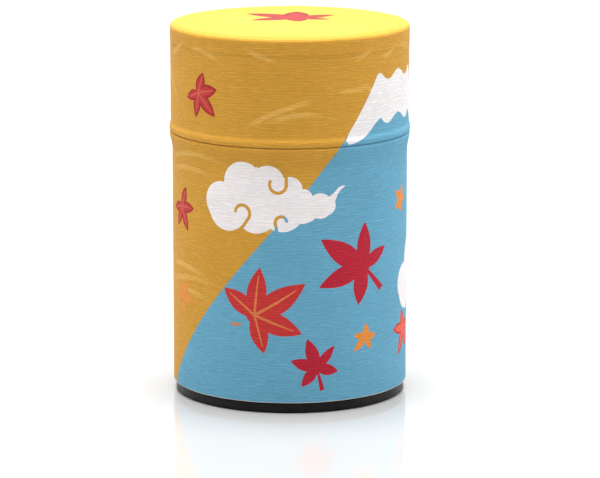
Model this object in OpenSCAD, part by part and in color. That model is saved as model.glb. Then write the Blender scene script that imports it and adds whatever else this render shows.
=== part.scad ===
// Tea caddy: a round tinplate canister wrapped in washi paper, with a slip-over outer lid and a
// knobbed inner lid. The origin is the centre of the foot, +Z runs up the caddy's axis.

/* [Overall size] */
// Height of the closed caddy
total_h = 117.5; // [112:0.5:130]
// Height of the joint line between the body and the outer lid
joint_h = 83.4; // [76:0.1:86]

/* [Body] */
// Diameter of the body over its paper
body_d = 74; // [66:0.5:84]
// How far the stop bead stands out from the body's wall
bead_rise = 0.8; // [0.7:0.05:0.9]
// Height of the flare that leads up to the stop bead
bead_flare_h = 5.55; // [3:0.05:8]
// How far the bare neck stands above the joint line
neck_h = 22; // [18:0.5:24]
// How far the foot's seam is set in from the body's paper
foot_inset = 0.85; // [0.5:0.05:1.2]
// Height of the foot's double seam
foot_h = 3.1; // [2.6:0.1:3.6]

/* [Outer lid] */
// Radial clearance between the body's neck and the outer lid
lid_clearance = 0.26; // [0.26:0.02:0.4]
// How far the lid's rolled rim stands out from its wall
rim_rise = 0.38; // [0.36:0.02:0.5]
// Height of the upright band above the lid's rolled rim
rim_land_h = 0.8; // [0.4:0.1:1.4]
// Height of the flare from that band up to the lid's wall
rim_flare_h = 1.7; // [1.4:0.05:3]
// Height of the top cap's skirt
cap_skirt_h = 5.2; // [3:0.1:6]
// Neutral radius of the top cap's rounded edge
cap_edge_r = 1.1; // [0.8:0.1:2]

/* [Inner lid] */
// Depth of the inner lid's pan below its lip
pan_depth = 7.6; // [5:0.1:10]
// Diameter of the knob's head
knob_d = 16; // [13:0.5:20]
// Height of the knob above the pan's floor
knob_h = 11; // [9:0.5:12]

/* [Stock] */
// Thickness of the tinplate
tin_t = 0.24; // [0.2:0.02:0.26]
// Thickness of the washi paper
paper_t = 0.18; // [0.12:0.02:0.2]

/* [Hidden] */

// Glue line or seam gap between two faces that lie on each other
gap = 0.02;
// Gap at a lid's seat, between its rim and what it rests on
seat_gap = 0.03;
// From the middle of the tinplate to the middle of the paper glued on it
skin = tin_t / 2 + gap + paper_t / 2;
// Largest turn, in degrees, between two neighbouring points of an arc
arc_step = 9;
// Number of steps in a flare
flare_steps = 10;
// Facets of a full turn
turn_facets = 120;

// Body: radii and heights of the middle of the sheet
wall_r = body_d / 2 - paper_t - gap - tin_t / 2;
crest_r = wall_r + bead_rise;
crest_bend_r = 0.25;
crest_h = joint_h - crest_bend_r - skin - paper_t / 2;
neck_bend_r = 0.3;
mouth_h = joint_h + neck_h;
curl_r = 0.75;
curl_turn = 285;
foot_reveal = 0.3;
body_paper_low = foot_h + foot_reveal;
body_paper_turn = 75;

// Double seam at the foot: five layers of sheet, counted inwards from the outside
seam_pitch = tin_t + gap;
seam_corner_r = 0.45;
seam_panel = 0;
seam_body_hook = 1;
seam_cover_hook = 2;
seam_body_wall = 3;
seam_chuck_wall = 4;
seam_u_h = tin_t + gap + seam_pitch + tin_t / 2;
hook_end_gap = 0.25;
// Bends of the step that narrows the wall down to the seam
neck_in_r = 0.45;

// Bottom end's centre panel
panel_recess = 0.6;
panel_h = foot_h + panel_recess;
panel_bend_r = 0.5;
panel_ring_r = 27;
panel_ring_w = 1.5;
panel_ring_drop = 0.7;

// Outer lid
band_r = wall_r + tin_t + lid_clearance;
rim_r = band_r + rim_rise;
hem_bend_r = 0.2;
hem_h = joint_h + seat_gap + hem_bend_r + skin + paper_t / 2;
hem_tongue_h = 0.85;
lid_paper_turn = 75;
cap_h = total_h - 2 * paper_t - 2 * gap - tin_t / 2;
cap_proud = 0.12;
cap_r = band_r + cap_proud;
cap_skirt_low = cap_h - cap_skirt_h;
band_step_h = 0.6;
band_top_r = cap_r - tin_t - gap;
band_top_drop = 0.4;
band_top_h = cap_h - cap_edge_r - band_top_drop;
paper_step_h = 0.5;
paper_fold_w = 4.8;
paper_fold_r = cap_r - paper_fold_w;
top_paper_margin = 1.3;
top_paper_r = cap_r - top_paper_margin;
top_paper_ramp = 1;

// Inner lid
plug_clearance = 0.2;
plug_r = wall_r - 2 * curl_r - tin_t - plug_clearance;
lip_h = mouth_h + seat_gap + tin_t / 2;
lip_inset = 0.4;
lip_r = wall_r - lip_inset;
lip_bend_r = 0.5;
lip_hem_r = tin_t / 2 + gap;
lip_hem_w = 0.7;
floor_h = lip_h - pan_depth;
floor_bend_r = 1.2;
floor_ring_r = 24;
floor_ring_w = 8;
floor_ring_rise = 0.8;
floor_ring_slope = 1.5;

// Knob, rivet and washer
rivet_r = 1.5;
rivet_head_r = 2.8;
rivet_head_h = 0.9;
rivet_grip = 6;
washer_r = 4;
washer_t = 0.4;
knob_base_h = floor_h + tin_t / 2;
knob_foot_r = 5.4;
knob_foot_h = 1;
knob_waist_r = 4;
knob_edge_r = 0.9;
knob_crown = 2.2;

// Unit vector along v
function unit(v) = v / norm(v);
// v turned a quarter turn to the left
function left(v) = [-v[1], v[0]];
// v in the opposite order
function reversed(v) = [for (i = [len(v) - 1:-1:0]) v[i]];
// Eased fraction: starts and ends level
function ease(s) = (1 - cos(180 * s)) / 2;
// Radius of the middle of a layer of the foot's double seam
function layer_r(layer) = body_d / 2 - foot_inset - tin_t / 2 - layer * seam_pitch;

// Points along an arc from one angle to another
function arc(centre, radius, from, to) =
    let (steps = ceil(abs(to - from) / arc_step))
    [for (i = [0:steps]) let (a = from + (to - from) * i / steps) centre + radius * [cos(a), sin(a)]];
// Upright S-curve between two points, level with the wall at both
function flare(from, to) =
    [for (i = [0:flare_steps]) let (s = i / flare_steps)
        [from[0] + (to[0] - from[0]) * ease(s), from[1] + (to[1] - from[1]) * s]];
// Flat S-curve between two points, level with the floor at both
function rise(from, to) =
    [for (i = [0:flare_steps]) let (s = i / flare_steps)
        [from[0] + (to[0] - from[0]) * s, from[1] + (to[1] - from[1]) * ease(s)]];

// A path without the points that repeat the one before
function tidy(path) =
    [for (i = [0:len(path) - 1]) if (i == 0 || norm(path[i] - path[max(i - 1, 0)]) > 0.001) path[i]];
// Direction of the path from point i to the next one
function heading(path, i) = let (k = min(max(i, 0), len(path) - 2)) unit(path[k + 1] - path[k]);
// The path moved sideways by d, to its left where d is positive
function beside(path, d) =
    [for (i = [0:len(path) - 1])
        let (side = left(heading(path, i)), n = unit(left(heading(path, i - 1)) + side))
        path[i] + n * d / (n * side)];

// A sheet of even thickness bent along a path and spun round the axis
module spun_sheet(path, thickness) {
    line = tidy(path);
    rotate_extrude($fn = turn_facets)
        polygon(concat(beside(line, thickness / 2), reversed(beside(line, -thickness / 2))));
}

// Outside of the body's wall, from a given height up and over the stop bead by some degrees
function body_flank(low, turn) = concat(
    [[wall_r, low]],
    flare([wall_r, crest_h - bead_flare_h], [crest_r, crest_h]),
    arc([crest_r - crest_bend_r, crest_h], crest_bend_r, 0, turn)
);

// Outside of the lid's wall from its hem up over the flare, moved out by some distance
function rim_flank(out) =
    let (low = hem_h + rim_land_h)
    concat([[rim_r + out, hem_h]], flare([rim_r + out, low], [band_r + out, low + rim_flare_h]));

// Canister wall: body hook, necked-in foot, straight wall, stop bead, neck and curled mouth
module body_shell() {
    foot_r = layer_r(seam_body_wall);
    color("silver") spun_sheet(concat(
        [[layer_r(seam_body_hook), foot_h - seam_pitch - tin_t / 2 - hook_end_gap]],
        arc([layer_r(seam_cover_hook), seam_u_h], seam_pitch, 0, -180),
        arc([foot_r + neck_in_r, foot_h], neck_in_r, 180, 90),
        arc([wall_r - neck_in_r, foot_h + 2 * neck_in_r], neck_in_r, 270, 360),
        body_flank(foot_h + 3 * neck_in_r, 90),
        arc([wall_r + neck_bend_r, crest_h + crest_bend_r + neck_bend_r], neck_bend_r, 270, 180),
        arc([wall_r - curl_r, mouth_h - curl_r - tin_t / 2], curl_r, 0, curl_turn)
    ), tin_t);
}

// Bottom: centre panel with a pressed ring, chuck wall, seam's outside and cover hook
module bottom_end() {
    chuck_r = layer_r(seam_chuck_wall);
    corner_h = seam_corner_r + tin_t / 2;
    hook_h = foot_h - seam_pitch - tin_t / 2;
    ring_low = panel_h - panel_ring_drop;
    color([0.08, 0.07, 0.07]) spun_sheet(concat(
        [[0, ring_low]],
        rise([panel_ring_r, ring_low], [panel_ring_r + panel_ring_w, panel_h]),
        arc([chuck_r - panel_bend_r, panel_h - panel_bend_r], panel_bend_r, 90, 0),
        arc([chuck_r + seam_corner_r, corner_h], seam_corner_r, 180, 270),
        arc([layer_r(seam_panel) - seam_corner_r, corner_h], seam_corner_r, 270, 360),
        arc([layer_r(seam_body_hook), hook_h], seam_pitch, 0, 180),
        [[layer_r(seam_cover_hook), seam_u_h + hook_end_gap]]
    ), tin_t);
}

// Washi wrap of the body, from just above the foot's seam to the top of the stop bead
module body_paper() {
    color("skyblue") spun_sheet(beside(tidy(body_flank(body_paper_low, body_paper_turn)), -skin), paper_t);
}

// Side of the outer lid: hemmed and flared rim, straight wall, narrowed top that takes the cap
module lid_band() {
    hem_centre = [rim_r - hem_bend_r, hem_h];
    color("silver") spun_sheet(concat(
        [[rim_r - 2 * hem_bend_r, hem_h + hem_tongue_h]],
        arc(hem_centre, hem_bend_r, 180, 360),
        rim_flank(0),
        flare([band_r, cap_skirt_low - gap - band_step_h], [band_top_r, cap_skirt_low - gap]),
        [[band_top_r, band_top_h]]
    ), tin_t);
}

// Top of the outer lid: a shallow pressed cap with a rounded edge, pushed over the band
module lid_top_cap() {
    color("silver") spun_sheet(concat(
        [[0, cap_h]],
        arc([cap_r - cap_edge_r, cap_h - cap_edge_r], cap_edge_r, 90, 0),
        [[cap_r, cap_skirt_low]]
    ), tin_t);
}

// Washi strip round the outer lid, from under the rim up the wall and turned in over the top
module lid_side_paper() {
    edge_centre = [cap_r - cap_edge_r, cap_h - cap_edge_r];
    color("goldenrod") spun_sheet(concat(
        arc([rim_r - hem_bend_r, hem_h], hem_bend_r + skin, 360 - lid_paper_turn, 360),
        rim_flank(skin),
        flare([band_r + skin, cap_skirt_low - paper_step_h], [cap_r + skin, cap_skirt_low]),
        arc(edge_centre, cap_edge_r + skin, 0, 90),
        [[paper_fold_r, cap_h + skin]]
    ), paper_t);
}

// Washi disc on the lid's top, glued to the cap in the middle and over the turned-in strip outside
module lid_top_paper() {
    color("khaki") spun_sheet(concat(
        [[0, cap_h + skin]],
        rise(
            [paper_fold_r - top_paper_ramp - gap, cap_h + skin],
            [paper_fold_r - gap, cap_h + skin + paper_t + gap]
        ),
        [[top_paper_r, cap_h + skin + paper_t + gap]]
    ), paper_t);
}

// Inner lid: floor with a raised ring, wall that plugs into the mouth, hemmed lip that rests on it
module inner_lid_pan() {
    ring_h = floor_h + floor_ring_rise;
    color("silver") spun_sheet(concat(
        [[rivet_r + gap, floor_h]],
        rise([floor_ring_r - floor_ring_slope, floor_h], [floor_ring_r, ring_h]),
        rise(
            [floor_ring_r + floor_ring_w, ring_h],
            [floor_ring_r + floor_ring_w + floor_ring_slope / 2, floor_h]
        ),
        arc([plug_r - floor_bend_r, floor_h + floor_bend_r], floor_bend_r, 270, 360),
        arc([plug_r + lip_bend_r, lip_h - lip_bend_r], lip_bend_r, 180, 90),
        arc([lip_r, lip_h + lip_hem_r], lip_hem_r, -90, 90),
        [[lip_r - lip_hem_w, lip_h + 2 * lip_hem_r]]
    ), tin_t);
}

// Turned knob: foot, concave waist, domed head and a blind bore for the rivet
module inner_lid_knob() {
    head_r = knob_d / 2;
    edge_h = knob_h - knob_crown - knob_edge_r;
    waist_h = (knob_foot_h + edge_h) / 2;
    foot_rise = waist_h - knob_foot_h;
    // Radius of the concave waist, from its depth and half height
    depth = knob_foot_r - knob_waist_r;
    waist_arc_r = (foot_rise * foot_rise + depth * depth) / (2 * depth);
    waist_angle = asin(foot_rise / waist_arc_r);
    crown_half = head_r - knob_edge_r;
    crown_arc_r = (crown_half * crown_half + knob_crown * knob_crown) / (2 * knob_crown);
    crown_angle = asin(crown_half / crown_arc_r);
    outline = tidy(concat(
        [[rivet_r + gap, gap], [knob_foot_r, gap]],
        arc([knob_waist_r + waist_arc_r, waist_h], waist_arc_r, 180 + waist_angle, 180 - waist_angle),
        arc([crown_half, edge_h], knob_edge_r, -90, 90 - crown_angle),
        arc([0, knob_h - crown_arc_r], crown_arc_r, 90 - crown_angle, 90),
        [[0, rivet_grip + gap], [rivet_r + gap, rivet_grip + gap]]
    ));
    color("gainsboro") translate([0, 0, knob_base_h]) rotate_extrude($fn = turn_facets) polygon(outline);
}

// Rivet from below, through the washer and the pan's floor into the knob
module knob_rivet() {
    head_top = floor_h - tin_t / 2 - washer_t - 2 * gap;
    head_arc_r = (rivet_head_r * rivet_head_r + rivet_head_h * rivet_head_h) / (2 * rivet_head_h);
    head_angle = asin(rivet_head_r / head_arc_r);
    head_arc_h = head_top - rivet_head_h + head_arc_r;
    outline = tidy(concat(
        arc([0, head_arc_h], head_arc_r, -90, head_angle - 90),
        [
            [rivet_r, head_top],
            [rivet_r, knob_base_h + rivet_grip],
            [0, knob_base_h + rivet_grip]
        ]
    ));
    color("lightgray") rotate_extrude($fn = turn_facets) polygon(outline);
}

// Flat washer between the rivet's head and the pan's floor
module rivet_washer() {
    low = floor_h - tin_t / 2 - washer_t - gap;
    color("darkgray") translate([0, 0, low]) difference() {
        cylinder(h = washer_t, r = washer_r, $fn = turn_facets);
        translate([0, 0, -1]) cylinder(h = washer_t + 2, r = rivet_r + gap, $fn = turn_facets);
    }
}

body_shell();
bottom_end();
body_paper();
lid_band();
lid_top_cap();
lid_side_paper();
lid_top_paper();
inner_lid_pan();
inner_lid_knob();
knob_rivet();
rivet_washer();
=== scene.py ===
"""Looks of the tea caddy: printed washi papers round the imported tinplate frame.

Blender objects are in metres. Sheets and artwork are worked out in millimetres and scaled at the end.
The artwork's place is (angle, height): degrees round the axis from the front (-Y) towards +X, and
millimetres above the foot. A shape is in millimetres from its place, right and up on the flat paper.
"""

import math
import random

import bpy
import numpy as np
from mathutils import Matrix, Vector, noise
from mathutils.geometry import delaunay_2d_cdt


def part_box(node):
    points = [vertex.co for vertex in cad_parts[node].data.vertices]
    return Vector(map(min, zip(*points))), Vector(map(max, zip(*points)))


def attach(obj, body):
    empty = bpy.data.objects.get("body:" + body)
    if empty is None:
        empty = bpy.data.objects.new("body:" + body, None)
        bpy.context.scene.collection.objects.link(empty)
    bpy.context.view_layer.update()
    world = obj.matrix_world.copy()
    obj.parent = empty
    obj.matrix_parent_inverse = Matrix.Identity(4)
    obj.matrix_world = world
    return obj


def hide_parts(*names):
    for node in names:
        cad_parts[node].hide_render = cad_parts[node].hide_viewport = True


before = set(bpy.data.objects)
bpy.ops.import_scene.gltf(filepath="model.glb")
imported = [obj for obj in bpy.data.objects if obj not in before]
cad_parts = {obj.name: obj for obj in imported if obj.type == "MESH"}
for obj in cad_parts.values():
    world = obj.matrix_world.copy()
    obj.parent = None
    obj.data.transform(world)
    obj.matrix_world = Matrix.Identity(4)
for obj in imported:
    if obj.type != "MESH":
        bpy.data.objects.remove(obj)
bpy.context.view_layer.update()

MM = 0.001


def box_mm(node):
    """Lowest and highest corner of a CAD node, in millimetres."""
    low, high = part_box(node)
    return low / MM, high / MM


# Thickness of the paper and of the glue under a lap, in millimetres, like every size of a sheet
PAPER, GLUE = 0.18, 0.02

# Degrees that a paper turns through round a rolled edge
EDGE_TURN = 75

# Stop bead: how far it stands out, the height of its swelling, and the radius of its edge
BEAD_RISE, BEAD_FLARE, BEAD_EDGE = 0.8, 5.55, 0.57

# Lid's rim: how far it stands out, its straight height, the height of its flare, its edge's radius
RIM_RISE, RIM_LAND, RIM_FLARE, RIM_EDGE = 0.38, 0.8, 1.7, 0.52

# Lid's cap: how far it stands out, the height of the step up to it, and its top edge's radius
CAP_STEP, CAP_STEP_HEIGHT, CAP_EDGE = 0.12, 0.5, 1.42

# A strip's end lapped over its start: the lap's length, how far it takes to rise, and how far it is
# cut back beside the other strip
SEAM_LAP, SEAM_RAMP, SEAM_TRIM = 6.0, 1.2, 0.9

# Where the papers lie, and their radii
BODY_LOW, BODY_HIGH = box_mm("body_paper")
LID_LOW, LID_HIGH = box_mm("lid_side_paper")
TOP_HIGH = box_mm("lid_top_paper")[1]
SKIRT_LOW = box_mm("lid_top_cap")[0].z
BODY_R = BODY_HIGH.x - BEAD_RISE
LID_R = LID_HIGH.x - RIM_RISE
TOP_R = TOP_HIGH.x

# Lid's top: how far in the strip's fold ends under the disc, how far the disc takes to rise over it,
# and the width and the drop of the disc's pressed edge
FOLD_WIDTH, FOLD_RAMP = 3.5, 1.2
PRESSED_WIDTH, PRESSED_DROP = 0.8, 0.13
FOLD_R = TOP_R - FOLD_WIDTH

# Width of the bare paper along the body wrap's lower cut edge, and how far it wanders
CUT_EDGE, CUT_WANDER = 0.16, 0.04

# A strip's cut edges: how far they lie in from its profile's ends, and how far they wander
EDGE_INSET, EDGE_WANDER = 0.05, 0.05

# The closest that a sheet's inner points come to its long edges, to its short ends and to a disc's
# edge, and the closest that the points of a short end come to its corners
EDGE_GAP, END_GAP, DISC_GAP, CORNER_GAP = 0.1, 0.3, 0.4, 0.2

# Near a strip's edges: where the lap starts to lift, how far it takes, and how far the creping takes
LIFT_START, LIFT_RAMP, CREPE_FADE = 0.3, 0.5, 0.8

# Height of the creping's broad waves and of its sharp ridges
CREPE_WAVES, CREPE_RIDGES = 0.02, 0.026

# How far along the crepe the lid's top starts, past the strips'
TOP_CREPE = 300

# Spacing of the points on the back of a sheet
BACK_STEP = 3.0

# Camera: focal length and sensor width in millimetres, sideways shift, place, and its dip in degrees
LENS, SENSOR, LENS_SHIFT = 204.86, 36, 0.017
CAMERA_PLACE, CAMERA_DIP = (0, -1.0619, 0.2638), 11.5

# Brightness of the surroundings in front, and what the sides and the back add to it
FRONT_GLOW, SIDE_GLOW, BACK_GLOW = 0.2, 0.6, 1.0

# The lights: strength and spread in degrees overhead, power in watts and size in metres at the sides
OVERHEAD, OVERHEAD_SPREAD = 8.5, 34
SOFTBOX_LEFT, SOFTBOX_RIGHT = 0.6, 1.1
SOFTBOX_SIZE = (0.3, 0.7)

# Half the floor's width, and the height that the softboxes face, in metres
FLOOR_HALF = 6.0
MIDDLE = 0.06

# Spacing of a sheet's points round the caddy and along its height, in millimetres
STEP_U, STEP_V = ((1.2, 0.27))


# ---------------------------------------------------------------- camera, floor and lights

def make_camera():
    """Long lens a metre away, looking slightly down at the caddy, which stands left of centre."""
    data = bpy.data.cameras.new("camera")
    data.sensor_width = SENSOR
    data.lens = LENS
    data.shift_x = LENS_SHIFT
    camera = bpy.data.objects.new("camera", data)
    camera.location = CAMERA_PLACE
    camera.rotation_euler = (math.radians(90 - CAMERA_DIP), 0, 0)
    bpy.context.scene.collection.objects.link(camera)
    bpy.context.scene.camera = camera
    bpy.context.scene.view_settings.view_transform = "Standard"


def area_light(name, place, size, power):
    """Soft rectangular light that faces the caddy."""
    data = bpy.data.lights.new(name, "AREA")
    data.shape = "RECTANGLE"
    data.size, data.size_y = size
    data.energy = power
    light = bpy.data.objects.new(name, data)
    light.location = place
    light.rotation_euler = (Vector((0, 0, MIDDLE)) - Vector(place)).to_track_quat("-Z", "Y").to_euler()
    bpy.context.scene.collection.objects.link(light)


def make_lights():
    """Soft surroundings, a strong wide light overhead, and two weak softboxes."""
    world = bpy.data.worlds.new("studio")
    world.use_nodes = True
    tree = world.node_tree
    place = tree.nodes.new("ShaderNodeTexCoord")
    axes = tree.nodes.new("ShaderNodeSeparateXYZ")
    tree.links.new(place.outputs["Generated"], axes.inputs[0])
    sides = tree.nodes.new("ShaderNodeMath")
    sides.operation = "ABSOLUTE"
    tree.links.new(axes.outputs["X"], sides.inputs[0])
    glow = FRONT_GLOW
    for source, rise in ((sides.outputs[0], SIDE_GLOW), (axes.outputs["Y"], BACK_GLOW)):
        part = tree.nodes.new("ShaderNodeMapRange")
        part.inputs["To Max"].default_value = rise
        tree.links.new(source, part.inputs["Value"])
        total = tree.nodes.new("ShaderNodeMath")
        tree.links.new(part.outputs[0], total.inputs[0])
        if isinstance(glow, float):
            total.inputs[1].default_value = glow
        else:
            tree.links.new(glow, total.inputs[1])
        glow = total.outputs[0]
    tree.links.new(glow, tree.nodes["Background"].inputs["Strength"])
    tree.nodes["Background"].inputs["Color"].default_value = (0.98, 0.99, 1.0, 1)
    bpy.context.scene.world = world
    overhead = bpy.data.lights.new("overhead", "SUN")
    overhead.energy = OVERHEAD
    overhead.angle = math.radians(OVERHEAD_SPREAD)
    light = bpy.data.objects.new("overhead", overhead)
    bpy.context.scene.collection.objects.link(light)
    area_light("softbox_left", (-0.8, -0.15, 0.3), SOFTBOX_SIZE, SOFTBOX_LEFT)
    area_light("softbox_right", (0.8, -0.1, 0.3), SOFTBOX_SIZE, SOFTBOX_RIGHT)


def make_floor():
    """Large glossy pale floor."""
    corners = [(x * FLOOR_HALF, y * FLOOR_HALF, 0) for x, y in ((-1, -1), (1, -1), (1, 1), (-1, 1))]
    mesh = bpy.data.meshes.new("floor")
    mesh.from_pydata(corners, [], [(0, 1, 2, 3)])
    floor = bpy.data.objects.new("floor", mesh)
    bpy.context.scene.collection.objects.link(floor)
    g = Graph("pale_gloss_floor")
    g.principled({"Base Color": (0.352, 0.352, 0.346, 1), "Roughness": 0.1, "Specular IOR Level": 0.5})
    mesh.materials.append(g.material)


# ---------------------------------------------------------------- materials

# A washi's even ink, a darker tone for uneven ink and for painted shade in its hollows, and a paler tone for
# a painted highlight on its ridges that also stands for worn ink: how the ink is multiplied, and how far it
# whitens
INK_TONES_AND_PAINTED_LIGHT = ((1.0, 0.0), (0.82, 0.0), (1.24, 0.009))

# A washi's roughness in its hollows and on its ridges
WASHI_ROUGHNESS = (0.7, 0.54)


class Graph:
    """A material's node tree, written from its textures to its shader."""

    def __init__(self, name):
        self.material = bpy.data.materials.new(name)
        self.material.use_nodes = True
        self.tree = self.material.node_tree
        self.tree.nodes.clear()

    def add(self, kind, inputs=None, output=0, **settings):
        """A new node, its inputs set or linked. Returns one of its outputs."""
        made = self.tree.nodes.new("ShaderNode" + kind)
        for key, value in settings.items():
            setattr(made, key, value)
        for key, value in (inputs or {}).items():
            if isinstance(value, bpy.types.NodeSocket):
                self.tree.links.new(value, made.inputs[key])
            else:
                made.inputs[key].default_value = value
        return made.outputs[output]

    def flat(self, scale, turn=0.0):
        """Place on the flat paper, in millimetres divided by the size of a pattern's cell."""
        place = self.add("UVMap", uv_map="flat")
        cells = (1 / scale[0] / MM, 1 / scale[1] / MM, 1)
        return self.add("Mapping", {"Vector": place, "Rotation": (0, 0, math.radians(turn)), "Scale": cells})

    def solid(self, scale):
        """Place in space, in millimetres divided by the size of a pattern's cell."""
        place = self.add("TexCoord", output=3)
        cells = tuple(1 / s / MM for s in scale)
        return self.add("Mapping", {"Vector": place, "Scale": cells})

    def noise(self, place, detail=3.0, roughness=0.5, distortion=0.0):
        """Noise between 0 and 1 with cells one unit across."""
        return self.add("TexNoise", {
            "Vector": place, "Scale": 1.0,
            "Detail": detail, "Roughness": roughness, "Distortion": distortion,
        })

    def bands(self, place, waviness):
        """Wavy level lines between 0 and 1, one unit apart."""
        return self.add("TexWave", {
            "Vector": place, "Scale": math.pi / 10, "Distortion": waviness,
            "Detail": 3.0, "Detail Scale": 0.8,
        }, output=1, bands_direction="Y")

    def span(self, value, low, high, to_low=0.0, to_high=1.0):
        """Value taken from one range to another, held at its ends."""
        return self.add("MapRange", {
            "Value": value, "From Min": low, "From Max": high, "To Min": to_low, "To Max": to_high,
        })

    def mix(self, share, a, b, blend="MIX"):
        """Colour a turned into colour b by share."""
        return self.add("Mix", {0: share, 6: a, 7: b}, output=2, data_type="RGBA", blend_type=blend)

    def maths(self, operation, a, b):
        """Two values joined by an operation."""
        return self.add("Math", {0: a, 1: b}, operation=operation)

    def bump(self, height, depth_mm, strength=1.0):
        """Normal from a height between 0 and 1, depth_mm deep."""
        return self.add("Bump", {"Height": height, "Distance": depth_mm * MM, "Strength": strength})

    def principled(self, inputs):
        """The shader and the material's output."""
        shader = self.add("BsdfPrincipled", inputs)
        output = self.tree.nodes.new("ShaderNodeOutputMaterial")
        self.tree.links.new(shader, output.inputs["Surface"])


def washi(name, ink):
    """Creped washi, printed with one ink: fine wrinkles, fibres, uneven ink, painted shade in the hollows,
    and ridges lightened by a painted highlight that also stands for worn ink.
    """
    g = Graph(name)
    wrinkles = g.bands(g.flat((3.6, 0.8), 0.3), 10.0)
    breaks = g.noise(g.flat((2.6, 0.7), -0.6), 3.0, 0.6)
    ridge = g.maths("MULTIPLY", g.maths("POWER", wrinkles, 2.6), g.span(breaks, 0.38, 0.66))
    creases = g.noise(g.flat((5.0, 0.3), 0.6), 1.5, 0.5)
    fibres = g.noise(g.flat((8.0, 0.34), 8.0), 2.0, 0.5, 0.6)
    cloudy = g.noise(g.flat((16.0, 9.0)), 4.0, 0.65)
    height = g.maths("ADD", g.maths("MULTIPLY", ridge, 0.6), g.maths("MULTIPLY", creases, 0.4))
    base, dark, pale = (tuple(min(c * k + lift, 1) for c in ink) + (1,) for k, lift in INK_TONES_AND_PAINTED_LIGHT)
    colour = g.mix(g.span(cloudy, 0.32, 0.68, 0.5, 0.0), base, dark)
    # Painted shade: the hollows between the creases are darkened towards the dark tone.
    colour = g.mix(g.span(creases, 0.32, 0.5, 0.7, 0.0), colour, dark)
    # Painted highlight: the wrinkles' ridges are lightened towards the pale tone, which also stands for ink
    # worn off them.
    colour = g.mix(g.maths("MULTIPLY", ridge, 0.85), colour, pale)
    colour = g.mix(g.span(fibres, 0.68, 0.75, 0.0, 0.4), colour, pale)
    g.principled({
        "Base Color": colour,
        "Roughness": g.span(height, 0.2, 0.8, *WASHI_ROUGHNESS),
        "Specular IOR Level": 0.16,
        "Sheen Weight": 0.02,
        "Normal": g.bump(height, 0.06, 0.7),
    })
    return g.material


def tinplate(name, base=(0.78, 0.775, 0.75), rough=0.24):
    """Bright tinplate: fine lines round the can, soft crystalline bloom, light rubbing."""
    g = Graph(name)
    lines = g.noise(g.solid((14.0, 14.0, 0.11)), 2.0, 0.5)
    bloom = g.noise(g.solid((7.0, 7.0, 7.0)), 4.0, 0.65, 0.8)
    rubs = g.noise(g.solid((1.2, 1.2, 9.0)), 2.0, 0.6, 1.5)
    dull = tuple(c * 0.8 for c in base) + (1,)
    colour = g.mix(g.span(bloom, 0.3, 0.7), dull, base + (1,))
    colour = g.mix(g.span(rubs, 0.62, 0.72, 0.0, 0.35), colour, (0.55, 0.53, 0.5, 1))
    roughness = g.maths("ADD", g.span(lines, 0.3, 0.7, rough, rough + 0.12), g.span(bloom, 0.4, 0.7, 0, 0.08))
    g.principled({
        "Base Color": colour,
        "Metallic": 1.0,
        "Roughness": roughness,
        "Normal": g.bump(lines, 0.01, 0.6),
    })
    return g.material


def black_lacquer(name):
    """Satin black lacquer on tin: faint orange peel, and patches of dust and of brown rubbing scattered by
    noise.
    """
    g = Graph(name)
    peel = g.noise(g.solid((0.8, 0.8, 0.8)), 2.0, 0.5)
    dust = g.noise(g.solid((4.0, 4.0, 1.0)), 4.0, 0.65)
    scuffs = g.noise(g.solid((6.0, 6.0, 0.25)), 3.0, 0.6, 0.8)
    colour = g.mix(g.span(dust, 0.35, 0.7), (0.006, 0.0055, 0.006, 1), (0.017, 0.014, 0.0135, 1))
    colour = g.mix(g.span(scuffs, 0.6, 0.72, 0.0, 0.5), colour, (0.085, 0.062, 0.05, 1))
    g.principled({
        "Base Color": colour,
        "Roughness": g.maths("ADD", g.span(dust, 0.3, 0.7, 0.3, 0.46), g.span(scuffs, 0.55, 0.75, 0, 0.15)),
        "Specular IOR Level": 0.15,
        "Normal": g.bump(peel, 0.02, 0.4),
    })
    return g.material


def turned_metal(name, base, rough, ring_mm):
    """Metal turned on a lathe: fine rings, slight tarnish and scratches."""
    g = Graph(name)
    rings = g.noise(g.solid((30.0, 30.0, ring_mm)), 2.0, 0.5)
    tarnish = g.noise(g.solid((3.0, 3.0, 2.0)), 4.0, 0.6)
    scratch = g.noise(g.solid((0.3, 5.0, 5.0)), 2.0, 0.5, 2.0)
    colour = g.mix(g.span(tarnish, 0.35, 0.7), base + (1,), tuple(c * 0.72 for c in base) + (1,))
    colour = g.mix(g.span(scratch, 0.66, 0.72, 0.0, 0.3), colour, (0.9, 0.88, 0.84, 1))
    worn = g.span(scratch, 0.6, 0.75, 0, 0.1)
    g.principled({
        "Base Color": colour,
        "Metallic": 1.0,
        "Roughness": g.maths("ADD", g.span(rings, 0.35, 0.65, rough, rough + 0.15), worn),
        "Normal": g.bump(rings, 0.015, 0.6),
    })
    return g.material


# ---------------------------------------------------------------- shapes on the flat paper

def arc(centre, radius, start, end, steps):
    """Points along an arc from one angle to another, in degrees."""
    angles = [math.radians(start + (end - start) * i / steps) for i in range(steps + 1)]
    return [(centre[0] + radius * math.cos(a), centre[1] + radius * math.sin(a)) for a in angles]


def bezier(a, b, c, d, steps=24):
    """Points along a cubic curve."""
    points = []
    for i in range(steps + 1):
        t = i / steps
        weights = ((1 - t) ** 3, 3 * t * (1 - t) ** 2, 3 * t * t * (1 - t), t ** 3)
        points.append(tuple(sum(w * p[k] for w, p in zip(weights, (a, b, c, d))) for k in (0, 1)))
    return points


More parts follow.
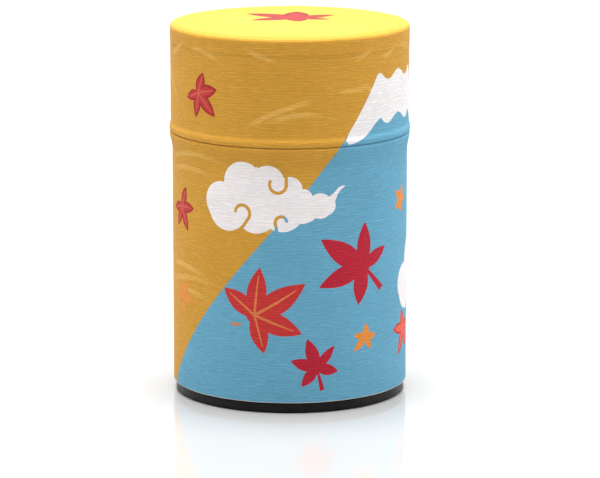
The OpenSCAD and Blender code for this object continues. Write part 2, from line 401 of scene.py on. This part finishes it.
def bowed(corners, closed=True, steps=10):
    """Line through corners (x, y, bow): each stretch is an arc that bows out to the right by bow."""
    points = []
    ends = corners[1:] + corners[:1] if closed else corners[1:]
    for (x0, y0, right), (x1, y1, _) in zip(corners, ends):
        if not right:
            points.append((x0, y0))
            continue
        bow = -right
        across, along = (x1 - x0, y1 - y0), math.hypot(x1 - x0, y1 - y0)
        radius = (along * along / 4 + bow * bow) / (2 * bow)
        left = (-across[1] / along, across[0] / along)
        centre = ((x0 + x1) / 2 - left[0] * (radius - bow), (y0 + y1) / 2 - left[1] * (radius - bow))
        first = math.atan2(y0 - centre[1], x0 - centre[0])
        turn = math.atan2(y1 - centre[1], x1 - centre[0]) - first
        turn = (turn % math.tau) - (math.tau if bow > 0 else 0)
        for i in range(steps):
            a = first + turn * i / steps
            points.append((centre[0] + abs(radius) * math.cos(a), centre[1] + abs(radius) * math.sin(a)))
    if not closed:
        points.append(corners[-1][:2])
    return points


def stroke(line, widths):
    """Outline of a brush stroke along a line, its width going through the given widths."""
    line = np.array(line, float)
    ahead = np.gradient(line, axis=0)
    side = np.stack([-ahead[:, 1], ahead[:, 0]], 1) / np.linalg.norm(ahead, axis=1)[:, None]
    width = np.interp(np.linspace(0, 1, len(line)), np.linspace(0, 1, len(widths)), widths)[:, None] / 2
    return [tuple(p) for p in np.concatenate([line + side * width, (line - side * width)[::-1]])]


def turned(along, across, angle):
    """Point along and to the left of a direction, in degrees."""
    c, s = math.cos(math.radians(angle)), math.sin(math.radians(angle))
    return along * c - across * s, along * s + across * c


# A lobe swells like half a wave: where on it the lobe starts, and the power that fills it out
LOBE_BASE, LOBE_POWER = 0.11, 0.9

# How far along a lobe its vein reaches, and the vein's widths as shares of its widest
VEIN_REACH, VEIN_TAPER = 0.82, (1.0, 0.8, 0.35)

# Heart's radius as a share of the lobes' length, and a vein's width as a share of its lobe's
HEART_SHARE, VEIN_SHARE = 0.18, 0.13

# Inside a rim, the blade's lobe lengths and widths and its heart, as shares of the rim's
BLADE_LENGTH, BLADE_WIDTH, BLADE_HEART = 0.88, 0.62, 0.75

# A stem's widths along it as shares of its own, and its bend in degrees
STEM_WIDTHS, STEM_BEND = (0.6, 1.0, 1.4), 3

# An even leaf: how many lobes, and its last lobe's angle from the middle one, shortening and bend
EVEN_LOBES, EVEN_ANGLE, EVEN_SHORTER, EVEN_BEND = 5, 128, 0.32, 0.05


def lobe(angle, length, width, bend=0.0, steps=14):
    """One pointed lobe of a leaf, from its heart out, bent sideways towards its tip."""
    shares = [i / steps for i in range(steps + 1)]
    points = []
    for side, run in ((1, shares), (-1, shares[-2::-1])):
        for s in run:
            swelling = abs(math.sin(math.pi * (LOBE_BASE + (1 - LOBE_BASE) * s))) ** LOBE_POWER
            half = side * width / 2 * swelling
            points.append(turned(length * s, half + bend * length * s * s, angle))
    return points


def vein(angle, length, bend, width, steps=8):
    """Tapering vein along the middle of a lobe."""
    shares = [VEIN_REACH * i / steps for i in range(steps + 1)]
    spine = [turned(length * s, bend * length * s * s, angle) for s in shares]
    return stroke(spine, [width * share for share in VEIN_TAPER])


def leaf(lobes, stem, inks):
    """Maple leaf as (ink, outline) layers. inks are the blade, its rim or None, and its veins or None."""
    blade, rim, veins = inks
    heart = sum(length for _, length, _, _ in lobes) / len(lobes) * HEART_SHARE
    layers = []
    if stem:
        angle, start, end, width = stem
        line = [turned(start, 0, angle), turned(end, 0, angle - STEM_BEND)]
        layers.append((rim or blade, stroke(line, [width * share for share in STEM_WIDTHS])))
    layers += [(rim or blade, lobe(*parts)) for parts in lobes]
    layers.append((rim or blade, arc((0, 0), heart, 0, 345, 23)))
    if rim:
        layers += [(blade, lobe(a, length * BLADE_LENGTH, width * BLADE_WIDTH, bend))
                   for a, length, width, bend in lobes]
        layers.append((blade, arc((0, 0), heart * BLADE_HEART, 0, 345, 23)))
    if veins:
        layers += [(veins, vein(a, length, bend, width * VEIN_SHARE)) for a, length, width, bend in lobes]
    return layers


def even_leaf(size, turn, slim=0.34):
    """Lobes of a plain leaf, spread evenly, the middle one longest."""
    lobes = []
    for i in range(EVEN_LOBES):
        off = (i - (EVEN_LOBES - 1) / 2) / (EVEN_LOBES - 1) * 2
        length = size * (1 - EVEN_SHORTER * off * off)
        lobes.append((turn + off * EVEN_ANGLE, length, size * slim, EVEN_BEND * off))
    return lobes


# ---------------------------------------------------------------- the artwork

# Leaves: lobes as (angle, length, width, bend) from the leaf's heart
CRIMSON_LEAF = [
    (89, 13.9, 5.4, -0.02), (150, 17.7, 7.0, -0.05), (196, 16.4, 6.0, 0.06), (259, 12.3, 5.6, 0.03),
    (25, 10.9, 4.3, 0.05),
]
VEINED_LEAF = [
    (85, 15.2, 6.4, -0.03), (29, 18.8, 7.4, 0.06), (-21, 15.9, 6.8, 0.0), (-74, 12.4, 5.8, -0.03),
    (140, 12.9, 6.0, 0.05),
]
SMALL_LEAF = [
    (107, 9.8, 4.2, 0.02), (48, 8.9, 3.0, 0.03), (-12, 7.1, 3.6, 0.0), (229, 7.5, 3.5, 0.03),
    (165, 8.5, 3.8, -0.03),
]
STAR_LEAF = [
    (87, 4.3, 2.4, 0.0), (3, 4.2, 2.4, 0.0), (-62, 4.6, 2.2, 0.0), (222, 6.2, 2.3, 0.0),
    (168, 4.7, 2.4, 0.0),
]
LID_LEAF = [
    (70, 6.9, 4.0, 0.0), (12, 8.2, 4.4, 0.0), (-44, 10.0, 4.2, 0.02), (-98, 7.9, 3.6, 0.0),
    (201, 6.2, 3.4, 0.0),
]
EDGE_LEAF = [
    (66, 7.2, 3.6, 0.0), (2, 7.4, 3.6, 0.0), (-62, 8.4, 3.6, 0.0), (-118, 7.5, 3.4, 0.0),
    (-170, 6.6, 3.4, 0.0),
]
TOP_LEAF = [
    (146, 18.5, 7.5, 0.04), (202, 15.5, 6.5, 0.03), (88, 14.5, 8.0, 0.0), (26, 14.0, 6.0, 0.03),
    (-20, 12.0, 4.5, 0.0), (-84, 9.0, 6.5, 0.0),
]

CRIMSON = ("crimson", None, None)
VEINED = ("red", None, "vein")
RIMMED = ("rose", "dark_red", "blush")
AMBER = ("orange", None, None)
FAINT = ("faint_orange", None, None)
CORAL = ("coral", "red", None)
TOP_INKS = ("deep_rose", "brown_red", "dark_red")

# Inks that a cloud's swirls can show
BEHIND = ("gold", "pale_gold", "blue", "snow")

# Heart of the leaf on the lid's top
TOP_HEART = (1.8, 9.0)

# Leaves by place: (angle round the caddy, height, lobes, stem as (angle, start, end, width), inks)
LEAVES = [
    (-48.8, 98.9, LID_LEAF, None, RIMMED),
    (-65.0, 61.5, EDGE_LEAF, None, RIMMED),
    (-64.0, 34.0, even_leaf(8.0, -85, 0.34), None, FAINT),
    (-17.2, 31.0, VEINED_LEAF, None, VEINED),
    (38.0, 45.2, CRIMSON_LEAF, (-43, 0.8, 11.2, 1.6), CRIMSON),
    (13.0, 14.4, SMALL_LEAF, (-73, 0.8, 7.4, 1.1), CRIMSON),
    (39.6, 22.6, STAR_LEAF, None, AMBER),
    (69.5, 63.0, even_leaf(5.6, 140, 0.46), None, AMBER),
    (74.5, 21.5, even_leaf(9.4, -120, 0.4), None, CORAL),
    # the side that faces away
    (112.0, 62.0, SMALL_LEAF, (-73, 0.8, 7.4, 1.1), CRIMSON),
    (140.0, 16.0, VEINED_LEAF, None, VEINED),
    (178.0, 12.0, STAR_LEAF, None, AMBER),
    (148.0, 46.0, even_leaf(6.5, 60, 0.42), None, AMBER),
    (-170.0, 36.0, CRIMSON_LEAF, (-41, 0.8, 10.6, 1.6), CRIMSON),
    (-118.0, 44.0, SMALL_LEAF, (-73, 0.8, 7.4, 1.1), RIMMED),
    (-104.0, 64.0, STAR_LEAF, None, FAINT),
    (-98.0, 24.0, even_leaf(7.0, 100), None, RIMMED),
    (-112.0, 100.0, even_leaf(9.0, 130), None, RIMMED),
    (176.0, 102.0, even_leaf(5.5, 20, 0.42), None, AMBER),
    (138.0, 102.0, LID_LEAF, None, RIMMED),
]

# Dash beside the veined leaf: its place, line, widths and ink
DASH = (-17.2, 31.0, [(-4.4, -3.2), (-6.3, -3.5), (-8.3, -3.2)], (0.6, 1.0, 0.3), "vein")

# Cloud: corners (x, y, bow) taken anticlockwise, each bow measured outwards
CLOUD = [
    (-12.9, 5.0, 4.0), (-18.7, -4.9, 0.1), (-18.2, -5.8, 2.9), (-7.2, -8.5, 0.1), (-6.4, -8.9, 1.6),
    (2.4, -8.6, 0.1), (4.1, -9.3, 1.2), (11.4, -7.1, 0.5), (16.4, -5.4, 0.6), (20.4, -4.7, 1.1),
    (22.6, -0.4, 0.1), (23.4, 1.6, -0.2), (25.9, 3.9, 0.1), (25.6, 4.3, 0.2), (23.4, 3.4, -0.2),
    (20.6, 1.1, 1.0), (15.3, 1.5, 0.8), (12.3, 3.7, 1.5), (7.4, 7.5, 0.0), (6.5, 7.3, 2.1),
    (-1.3, 10.1, 0.2), (-2.2, 10.2, 3.1), (-12.7, 7.0, 0.1),
]

# Cloud's swirls, which show what lies behind: a lead-in point, then a spiral as
# (centre x, centre y, radius at its start and end, angle at its start and end)
SWIRLS = [
    ((7.1, 8.2), (4.7, 5.1, 2.65, 2.5, 8, -212)),
    ((-7.4, -9.6), (-6.8, -4.1, 2.75, 2.1, -35, 182)),
    ((4.4, -10.2), (6.0, -6.6, 2.15, 1.4, 190, 0)),
]
SWIRL_WIDTHS = (1.0, 1.05, 1.0, 0.95, 0.9)
CLOUDS = [(-13.0, 67.0), (97.0, 37.3), (-154.0, 80.0), (-134.0, 17.0)]

# Mountain: outline of its left side (angle, height), mirrored about its middle
SUMMIT = 63.2
FLANK = ((-80, 0), (-30, 46), (14, 69), (45.8, 104.6))
RIDGE = [(45.8, 104.6, -0.4), (49.2, 104.7, 0.8), (56.2, 103.0, -0.3), (SUMMIT, 105.5, 0)]
SNOW_FOOT = [
    (26.6, 84.9, -0.4), (28.2, 84.2, 0.3), (35.2, 85.2, 0.4), (42.4, 88.4, -0.3), (48.5, 91.2, 1.2),
    (56.4, 89.7, -0.2), (SUMMIT, 91.9, 0),
]

# Pale dry-brush lines on the gold: start (angle, height), end (angle, height) and bow in millimetres
BRUSH_LINES = [
    (-23.4, 89.0, 17.5, 99.1, -1.4), (-11.6, 91.0, 22.6, 92.7, -2.0), (22.0, 100.2, 42.2, 100.2, -0.6),
    (-56.0, 112.9, -32.9, 108.9, -0.8), (-23.3, 113.6, -6.0, 109.2, -0.6), (29.0, 109.8, 46.0, 114.5, 0.8),
    (47.0, 109.4, 63.0, 114.0, 0.8), (-80.0, 75.0, -30.0, 77.0, -3.0), (-80.0, 71.0, -37.0, 72.0, -2.8),
    (-82.0, 41.8, -43.0, 40.6, -1.8), (-83.0, 36.0, -35.0, 39.0, -2.0), (-78.0, 35.4, -40.0, 33.4, -1.2),
    (-84.0, 103.0, -66.0, 92.0, -1.5), (-20.0, 58.0, -2.0, 55.0, -1.0),
]

# Degrees round the caddy by which each repeat of the brush lines is turned
BRUSH_TURNS = (0, 118, 236)

# A brush's bristles as (offset, width, share cut off at each end), and the width of a stroke's ends
BRISTLES = ((-0.55, 0.4, 0.0), (0.0, 0.6, 0.06), (0.6, 0.4, 0.03))
TAPERED = 0.1


def mirrored(points):
    """Points (angle, height, ...) on the mountain's other side, in reverse."""
    return [(2 * SUMMIT - p[0],) + tuple(p[1:]) for p in reversed(points)]


def place_shape(shape, angle, height, radius):
    """A shape in millimetres moved to its place on the flat paper."""
    across = math.radians(angle) * radius
    return [(x + across, y + height) for x, y in shape]


def place_angles(points, radius):
    """Points (angle, height) on the flat paper."""
    return [(math.radians(a) * radius, z) for a, z in points]


def mountain(radius):
    """The mountain's outline and its snow cap, on the flat paper."""
    flank = bezier(*FLANK)
    ridge = bowed(RIDGE, closed=False)
    body = place_angles(flank + ridge[1:] + mirrored(ridge)[1:] + mirrored(flank)[1:], radius)
    foot = bowed(SNOW_FOOT, closed=False)
    above = [p for p in flank if p[1] > foot[0][1] + 0.5]
    half = above + ridge[1:]
    cap = half + mirrored(half)[1:] + mirrored(foot)[::-1] + foot[::-1][1:]
    return body, place_angles(cap, radius)


def brush_lines(radius):
    """Pale dry-brush lines, each a few bristles wide, as outlines on the flat paper."""
    draw = random.Random(11)
    shapes = []
    for turn in BRUSH_TURNS:
        for angle, height, far, far_height, bow in BRUSH_LINES:
            reach = math.radians(far - angle) * radius
            line = bowed([(0, 0, bow), (reach, far_height - height, 0)], closed=False, steps=20)
            for offset, width, cut in BRISTLES:
                first = int(len(line) * (cut + draw.uniform(0, 0.15)))
                last = len(line) - int(len(line) * (cut + draw.uniform(0, 0.2)))
                wide = width * draw.uniform(0.8, 1.3)
                shape = stroke(line[first:last], (TAPERED, wide, wide, wide * 0.8, TAPERED))
                shapes.append(place_shape(shape, angle + turn, height + offset, radius))
    return shapes


def cloud(angle, height, radius):
    """A cloud and its swirls as (ink, outline) layers."""
    layers = [("cloud", place_shape(bowed(CLOUD), angle, height, radius))]
    for lead, (x, y, start_r, end_r, start, end) in SWIRLS:
        line = []
        for i in range(25):
            share = i / 24
            along = turned(start_r + (end_r - start_r) * share, 0, start + (end - start) * share)
            line.append((x + along[0], y + along[1]))
        first = line[0]
        line.insert(0, ((lead[0] + first[0]) / 2 + 0.1, (lead[1] + first[1]) / 2))
        line.insert(0, lead)
        layers.append((None, place_shape(stroke(line, SWIRL_WIDTHS), angle, height, radius)))
    return layers


def caddy_art(radius):
    """The side's artwork as (ink, outline) layers from back to front. No ink shows what lies behind."""
    body, cap = mountain(radius)
    layers = [("pale_gold", shape) for shape in brush_lines(radius)]
    layers += [("blue", body), ("snow", cap)]
    for angle, height in CLOUDS:
        layers += cloud(angle, height, radius)
    for angle, height, lobes, stem, inks in LEAVES:
        layers += [(ink, place_shape(s, angle, height, radius)) for ink, s in leaf(lobes, stem, inks)]
    angle, height, line, widths, ink = DASH
    layers.append((ink, place_shape(stroke(line, widths), angle, height, radius)))
    return layers


# ---------------------------------------------------------------- sheets

def inside(points, outline):
    """Which points lie inside an outline."""
    x, y = points[:, 0], points[:, 1]
    hit = np.zeros(len(points), bool)
    for (x0, y0), (x1, y1) in zip(outline, outline[1:] + outline[:1]):
        if y0 != y1:
            hit ^= ((y0 > y) != (y1 > y)) & (x < (x1 - x0) * (y - y0) / (y1 - y0) + x0)
    return hit


def inked(middles, layers, ground):
    """The ink at each point, from the layers that cover it."""
    inks = np.full(len(middles), ground, dtype=object)
    behind = inks.copy()
    for ink, outline in layers:
        corners = np.array(outline)
        low, high = corners.min(0), corners.max(0)
        near = np.flatnonzero(((middles >= low) & (middles <= high)).all(1))
        covered = near[inside(middles[near], outline)]
        inks[covered] = ink if ink else behind[covered]
        if ink in BEHIND:
            behind[covered] = ink
    return inks


def triangulate(outline, grid, shapes):
    """Triangles that fill an outline and have every shape's edge among their own."""
    points, edges = [Vector(p) for p in outline], []
    for i in range(len(outline)):
        edges.append((i, (i + 1) % len(outline)))
    for shape in shapes:
        first = len(points)
        points += [Vector(p) for p in shape]
        edges += [(first + i, first + (i + 1) % len(shape)) for i in range(len(shape))]
    points += [Vector(p) for p in grid]
    made, _, faces, _, _, _ = delaunay_2d_cdt(points, edges, [], 0, 1e-4, False)
    flat = np.array([tuple(p) for p in made])
    faces = np.array(faces)
    kept = inside(flat[faces].mean(1), outline)
    faces = faces[kept]
    used, faces = np.unique(faces, return_inverse=True)
    return flat[used], faces.reshape(-1, 3)


def rim_loops(faces):
    """Directed edges that only one triangle has."""
    edges = np.concatenate([faces[:, [0, 1]], faces[:, [1, 2]], faces[:, [2, 0]]])
    known = {tuple(e) for e in edges.tolist()}
    return [e for e in known if (e[1], e[0]) not in known]


def printed_sheet(name, outline, grid, coarse, layers, ground, place):
    """A closed sheet of paper. place(points, depth) takes flat points to space, depth below the face."""
    face_flat, face_tris = triangulate(outline, grid, [s for _, s in layers])
    inks = inked(face_flat[face_tris].mean(1), layers, ground)
    rim = rim_loops(face_tris)
    order = {a: b for a, b in rim}
    loop = [rim[0][0]]
    while order[loop[-1]] != loop[0]:
        loop.append(order[loop[-1]])
    edge = [tuple(p) for p in face_flat[loop]]
    back_flat, back_tris = triangulate(edge, coarse, [])
    lookup = {tuple(np.round(p, 5)): i for i, p in enumerate(back_flat)}
    count = len(face_flat)
    back_of = {i: count + lookup[tuple(np.round(face_flat[i], 5))] for i in loop}
    points = np.concatenate([place(face_flat, 0.0), place(back_flat, PAPER)]) * MM
    faces = [tuple(t) for t in face_tris.tolist()]
    faces += [(count + a, count + c, count + b) for a, b, c in back_tris.tolist()]
    faces += [(b, a, back_of[a], back_of[b]) for a, b in rim]
    mesh = bpy.data.meshes.new(name)
    mesh.from_pydata(points.tolist(), [], faces)
    owner = {}
    for tri, ink in zip(face_tris.tolist(), inks):
        for a, b in zip(tri, tri[1:] + tri[:1]):
            owner[a, b] = ink
    names = sorted(set(inks)) + ["bare_washi"]
    index = {ink: i for i, ink in enumerate(names)}
    for ink in names:
        mesh.materials.append(INKS[ink])
    slots = [index[ink] for ink in inks] + [index["bare_washi"]] * len(back_tris)
    slots += [index[owner[e]] for e in rim]
    mesh.polygons.foreach_set("material_index", slots)
    flat = np.concatenate([face_flat, back_flat]) * MM
    corners = np.zeros(len(mesh.loops), int)
    mesh.loops.foreach_get("vertex_index", corners)
    mesh.uv_layers.new(name="flat").data.foreach_set("uv", flat[corners].ravel())
    mesh.shade_smooth()
    mesh.set_sharp_from_angle(angle=math.radians(50))
    piece = bpy.data.objects.new(name, mesh)
    bpy.context.scene.collection.objects.link(piece)
    return piece


def crepe(u, v):
    """Height of the washi's wrinkles, in millimetres, at points on the flat paper."""
    heights = []
    for x, y in zip(u, v):
        drift = 0.5 * noise.noise(Vector((x * 0.07, y * 0.1, 4.0)))
        broad = noise.noise(Vector((x * 0.13, (y + drift) * 0.7, 0.0)))
        ridge = 1 - min(5 * abs(noise.noise(Vector((x * 0.1, (y + drift) * 0.95, 9.0)))), 1)
        patch = 0.6 + 0.8 * noise.noise(Vector((x * 0.05, y * 0.08, 21.0)))
        heights.append(CREPE_WAVES * broad + CREPE_RIDGES * patch * ridge)
    return np.array(heights)


def swell(start, end, steps=12):
    """Upright S-curve between two (radius, height) points."""
    eased = [(1 - math.cos(math.pi * i / steps)) / 2 for i in range(steps + 1)]
    return [(start[0] + (end[0] - start[0]) * e, start[1] + (end[1] - start[1]) * i / steps)
            for i, e in enumerate(eased)]


def body_profile():
    """Face of the body's paper as (radius, height), from its lower edge over the stop bead."""
    crest = (BODY_HIGH.x - BEAD_EDGE, BODY_HIGH.z - BEAD_EDGE * math.sin(math.radians(EDGE_TURN)))
    return ([(BODY_R, BODY_LOW.z)] + swell((BODY_R, crest[1] - BEAD_FLARE), (BODY_HIGH.x, crest[1]))
            + arc(crest, BEAD_EDGE, 0, EDGE_TURN, 5)[1:])


def lid_profile():
    """Face of the lid's paper as (radius, height), from under the rim to its fold on the top."""
    rim = (LID_HIGH.x - RIM_EDGE, LID_LOW.z + RIM_EDGE * math.sin(math.radians(EDGE_TURN)))
    shoulder = (LID_R + CAP_STEP - CAP_EDGE, LID_HIGH.z - CAP_EDGE)
    flare = rim[1] + RIM_LAND
    wall = LID_R + CAP_STEP
    return (arc(rim, RIM_EDGE, -EDGE_TURN, 0, 5)
            + swell((LID_HIGH.x, flare), (LID_R, flare + RIM_FLARE))
            + swell((LID_R, SKIRT_LOW - CAP_STEP_HEIGHT), (wall, SKIRT_LOW), 4)
            + arc(shoulder, CAP_EDGE, 0, 90, 10) + [(FOLD_R, LID_HIGH.z)])


def seam_lift(u, reach):
    """How far the wrap's end stands off where it lies over its own start."""
    ramp = np.clip((u - (reach - SEAM_LAP - SEAM_RAMP)) / SEAM_RAMP, 0, 1)
    return (PAPER + GLUE) * ramp * ramp * (3 - 2 * ramp)


def wrapped_strip(name, profile, radius, layers, bare_edge, trim_low=0.0, trim_high=0.0):
    """A printed strip wound once round the caddy along a profile, its end lapped over its start.

    The lapped end is cut back by trim_low and trim_high where it would foul the other strip."""
    line = np.array(profile)
    along = np.concatenate([[0], np.cumsum(np.linalg.norm(np.diff(line, axis=0), axis=1))])
    ahead = np.gradient(line, axis=0)
    out = np.stack([ahead[:, 1], -ahead[:, 0]], 1) / np.linalg.norm(ahead, axis=1)[:, None]
    height = along[-1]
    reach = math.pi * radius
    first, last = -reach - SEAM_LAP, reach
    base = line[0, 1]

    def place(points, depth):
        u, v = points[:, 0], np.clip(points[:, 1] - base, 0, height)
        r, z = np.interp(v, along, line[:, 0]), np.interp(v, along, line[:, 1])
        nr, nz = np.interp(v, along, out[:, 0]), np.interp(v, along, out[:, 1])
        from_joint = height - v if trim_high else v
        lift = seam_lift(u, reach) * np.clip((from_joint - LIFT_START) / LIFT_RAMP, 0, 1) - depth
        if depth == 0:
            lift = lift + crepe(u, v) * np.clip(np.minimum(v, height - v) / CREPE_FADE, 0, 1)
        r, z, turn = r + nr * lift, z + nz * lift, u / radius
        return np.stack([r * np.sin(turn), -r * np.cos(turn), z], 1)

    columns = np.arange(first + STEP_U, last - STEP_U / 2, STEP_U)
    rows = np.unique(np.round(np.concatenate([np.arange(STEP_V, height, STEP_V), along[1:-1]]), 3))
    rows = rows[(rows > EDGE_GAP) & (rows < height - EDGE_GAP)]
    rows = rows[np.concatenate([[True], np.diff(rows) > EDGE_GAP])]
    grid = [(c + (k % 2) * STEP_U / 2, base + v) for k, v in enumerate(rows) for c in columns]
    grid = [p for p in grid if p[0] < last - END_GAP]

    def wavy(u, offset):
        return EDGE_WANDER * noise.noise(Vector((u * 0.11, offset, 2.0)))

    def lapped(u):
        return min(max((u - (last - SEAM_LAP)) / SEAM_RAMP, 0), 1)

    across = [float(c) for c in np.linspace(first, last, len(columns) + 2)]
    ends = [float(v) for v in rows[rows < height - CORNER_GAP][1:]]
    outline = [(u, base + EDGE_INSET + wavy(u, 1.0) + trim_low * lapped(u)) for u in across]
    outline += [(last, base + v) for v in ends
                if trim_low + CORNER_GAP < v < height - trim_high - CORNER_GAP]
    outline += [(u, base + height - EDGE_INSET + wavy(u, 5.0) - trim_high * lapped(u))
                for u in reversed(across)]
    outline += [(first, base + v) for v in reversed(ends)]
    back_columns = np.arange(first + BACK_STEP, last - BACK_STEP / 2, BACK_STEP)
    coarse = [(u, base + v) for v in rows[2:-2:3] for u in back_columns]
    edge = [(u, base + CUT_EDGE + CUT_WANDER * noise.noise(Vector((u * 0.4, 3.0, 7.0)))) for u in across]
    copies = [(ink, [(x + k * 2 * reach, y) for x, y in s]) for ink, s in layers for k in (-1, 0, 1)]
    copies = [(ink, s) for ink, s in copies
              if max(p[0] for p in s) > first and min(p[0] for p in s) < last
              and max(p[1] for p in s) > base and min(p[1] for p in s) < base + height]
    if bare_edge:
        copies.append(("bare_washi", [(first - 1, base - 1)] + edge + [(last + 1, base - 1)]))
    return printed_sheet(name, outline, grid, coarse, copies, "gold", place)


def make_body_paper():
    """The body's printed wrap."""
    piece = wrapped_strip("body_wrap", body_profile(), BODY_R, caddy_art(BODY_R), bare_edge=True,
                          trim_high=SEAM_TRIM)
    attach(piece, "canister")
    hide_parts("body_paper")


def make_lid_side_paper():
    """The lid's printed strip, turned under the rim and in over the top."""
    piece = wrapped_strip("lid_wrap", lid_profile(), LID_R, caddy_art(LID_R), bare_edge=False,
                          trim_low=SEAM_TRIM)
    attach(piece, "outer_lid")
    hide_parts("lid_side_paper")


def top_lines():
    """Pale brush lines across the lid's top."""
    draw = random.Random(5)
    shapes = []
    for k in range(7):
        x, y = draw.uniform(-28, -12), -24 + 7 * k + draw.uniform(-2, 2)
        bow = draw.uniform(-5, -2)
        line = bowed([(x, y, bow), (x + draw.uniform(26, 40), y + draw.uniform(-6, 6), 0)], False, 24)
        shapes.append(stroke(line, (0.15, 1.0, 1.1, 0.8, 0.1)))
    return [s for s in shapes if max(math.hypot(*p) for p in s) < TOP_R - 1]


def make_lid_top_paper():
    """The printed disc on the lid, flat in the middle and a paper's thickness higher over the fold."""
    layers = [("pale_gold", shape) for shape in top_lines()]
    for ink, shape in leaf(TOP_LEAF, None, TOP_INKS):
        layers.append((ink, [(x + TOP_HEART[0], y + TOP_HEART[1]) for x, y in shape]))

    def place(points, depth):
        r = np.hypot(points[:, 0], points[:, 1])
        ramp = np.clip((r - (FOLD_R - FOLD_RAMP)) / FOLD_RAMP, 0, 1)
        z = TOP_HIGH.z - (PAPER + GLUE) * (1 - ramp * ramp * (3 - 2 * ramp)) - depth
        if depth == 0:
            pressed = np.clip((r - TOP_R + PRESSED_WIDTH) / PRESSED_WIDTH, 0, 1)
            z = z + crepe(points[:, 0] + TOP_CREPE, points[:, 1]) * (1 - pressed)
            z = z - PRESSED_DROP * pressed * pressed
        return np.stack([points[:, 0], points[:, 1], z], 1)

    step = STEP_U * 0.8
    grid = []
    for k, y in enumerate(np.arange(-TOP_R, TOP_R, STEP_V)):
        for x in np.arange(-TOP_R, TOP_R, step) + (k % 2) * step / 2:
            if math.hypot(x, y) < TOP_R - DISC_GAP:
                grid.append((x, y))
    outline = arc((0, 0), TOP_R, 0, 360, 240)[:-1]
    rings = np.arange(BACK_STEP, TOP_R - 1, BACK_STEP)
    coarse = [p for ring in rings for p in arc((0, 0), ring, 0, 360, 40)[:-1]]
    piece = printed_sheet("lid_top_disc", outline, grid, coarse, layers, "gold", place)
    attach(piece, "outer_lid")
    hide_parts("lid_top_paper")


# ---------------------------------------------------------------- the build

# The inks: each is a washi of its own
INKS = {
    "gold": washi("washi_gold", (0.60, 0.304, 0.037)),
    "pale_gold": washi("washi_pale_gold", (0.68, 0.385, 0.08)),
    "blue": washi("washi_blue", (0.128, 0.365, 0.52)),
    "snow": washi("washi_snow", (0.84, 0.795, 0.80)),
    "cloud": washi("washi_cloud", (0.87, 0.81, 0.82)),
    "crimson": washi("washi_crimson", (0.46, 0.014, 0.033)),
    "red": washi("washi_red", (0.54, 0.034, 0.032)),
    "rose": washi("washi_rose", (0.53, 0.045, 0.045)),
    "dark_red": washi("washi_dark_red", (0.37, 0.026, 0.018)),
    "blush": washi("washi_blush", (0.62, 0.115, 0.07)),
    "deep_rose": washi("washi_deep_rose", (0.25, 0.027, 0.031)),
    "brown_red": washi("washi_brown_red", (0.19, 0.026, 0.016)),
    "coral": washi("washi_coral", (0.84, 0.12, 0.06)),
    "vein": washi("washi_vein", (0.66, 0.19, 0.06)),
    "orange": washi("washi_orange", (0.76, 0.255, 0.045)),
    "faint_orange": washi("washi_faint_orange", (0.72, 0.27, 0.045)),
    "bare_washi": washi("washi_bare", (0.78, 0.74, 0.66)),
}

# Materials of the CAD nodes that stay
CAD_MATERIALS = {
    "body_shell": tinplate("tinplate_body"),
    "bottom_end": black_lacquer("black_lacquer"),
    "lid_band": tinplate("tinplate_lid"),
    "lid_top_cap": tinplate("tinplate_cap"),
    "inner_lid_pan": tinplate("tinplate_inner_lid", (0.8, 0.79, 0.76), 0.2),
    "inner_lid_knob": turned_metal("turned_knob", (0.8, 0.79, 0.76), 0.14, 0.12),
    "knob_rivet": turned_metal("rivet_steel", (0.6, 0.59, 0.57), 0.3, 0.3),
    "rivet_washer": turned_metal("washer_steel", (0.64, 0.63, 0.6), 0.28, 0.3),
}


def finish_cad_nodes():
    """Gives each CAD node that stays its own material."""
    for node, material in CAD_MATERIALS.items():
        for material_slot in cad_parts[node].material_slots:
            material_slot.material = material


make_camera()
make_lights()
make_floor()
make_body_paper()
make_lid_side_paper()
make_lid_top_paper()
finish_cad_nodes()
